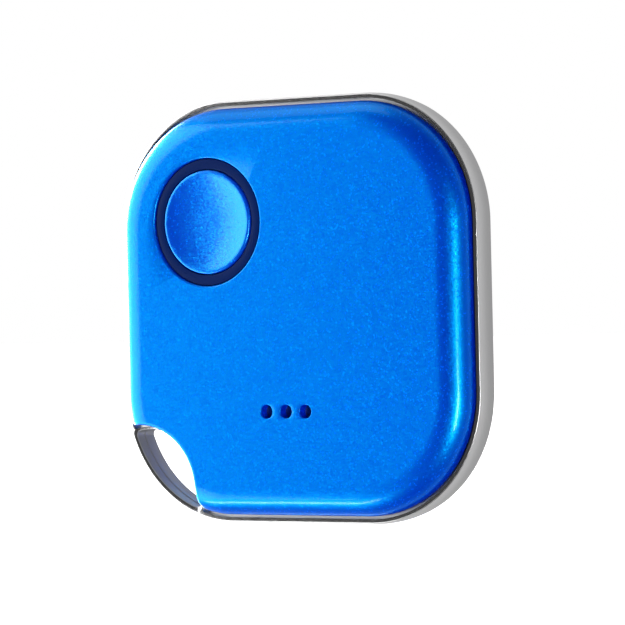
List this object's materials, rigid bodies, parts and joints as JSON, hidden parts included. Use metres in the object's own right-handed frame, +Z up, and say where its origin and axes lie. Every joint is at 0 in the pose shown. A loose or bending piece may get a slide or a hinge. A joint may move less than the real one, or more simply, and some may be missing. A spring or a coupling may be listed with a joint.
{
  "type": "bluetooth tracker tag",
  "caption": "Small square tracker tag with rounded blue covers, a metal band that forms a key loop at one corner, a push button, sound holes and a coin cell behind a snap-off back.",
  "frame": {"origin": "middle of the bottom edge of the metal band, under the middle of the tag's thickness", "axes": "+Z up, -Y out of the front face with the button, +X to the right seen from the front"},
  "size_m": [0.036, 0.006, 0.036],
  "materials": {
    "blue_case": "gloss",
    "blue_button": "gloss",
    "dark_ring": "gloss",
    "silver_band": "satin",
    "black_parts": "matte",
    "steel_parts": "satin",
    "grey_plastic": "matte",
    "ferrite": "matte",
    "buzzer_brass": "satin",
    "buzzer_ceramic": "matte",
    "dust_mesh": "matte",
    "circuit_board": "satin",
    "gold_contacts": "satin",
    "cell_steel": "satin",
    "cell_gasket": "matte",
    "cell_core": "matte",
    "antenna_ceramic": "matte",
    "led_case": "satin",
    "capacitor_ceramic": "matte",
    "resistor_body": "matte"
  },
  "bodies": {
    "case": {"front_cover": "blue_case", "trim_frame": "silver_band", "button_ring": "dark_ring", "switch_body": "black_parts", "switch_plate": "steel_parts", "piezo_plate": "buzzer_brass", "piezo_ceramic": "buzzer_ceramic", "piezo_spring_1": "steel_parts", "piezo_spring_2": "steel_parts", "sound_mesh": "dust_mesh", "carrier": "grey_plastic", "circuit_board": "circuit_board", "contact_positive": "gold_contacts", "contact_negative": "gold_contacts", "radio_chip": "black_parts", "main_crystal": "steel_parts", "clock_crystal": "steel_parts", "chip_antenna": "antenna_ceramic", "driver_chip": "black_parts", "inductor": "ferrite", "status_led": "led_case", "capacitor_1": "capacitor_ceramic", "capacitor_2": "capacitor_ceramic", "capacitor_3": "capacitor_ceramic", "capacitor_4": "capacitor_ceramic", "capacitor_5": "capacitor_ceramic", "capacitor_6": "capacitor_ceramic", "resistor_1": "resistor_body", "resistor_2": "resistor_body", "resistor_3": "resistor_body", "resistor_4": "resistor_body"},
    "cap": {"button_cap": "blue_button"},
    "plunger": {"switch_plunger": "grey_plastic"},
    "rear_shell": {"back_cover": "blue_case"},
    "coin_cell": {"battery_can": "cell_steel", "battery_gasket": "cell_gasket", "battery_cap": "cell_steel", "battery_core": "cell_core"}
  },
  "joints": [
    {"name": "button_press", "type": "slide", "parent": "case", "child": "cap", "axis": [0, 1, 0], "range_m": [0, 0.0003], "stiffness_N_per_m": 3000},
    {"name": "plunger_press", "type": "slide", "parent": "case", "child": "plunger", "axis": [0, 1, 0], "range_m": [0, 0.0003]},
    {"name": "back_cover_off", "type": "slide", "parent": "case", "child": "rear_shell", "axis": [0, 1, 0], "range_m": [0, 0.014]},
    {"name": "coin_cell_out", "type": "slide", "parent": "case", "child": "coin_cell", "axis": [0, 1, 0], "range_m": [0, 0.007]}
  ],
  "couplings": [
    {"joint": "plunger_press", "follows": "button_press", "ratio": 1},
    {"joint": "coin_cell_out", "follows": "back_cover_off", "ratio": 0.5}
  ]
}
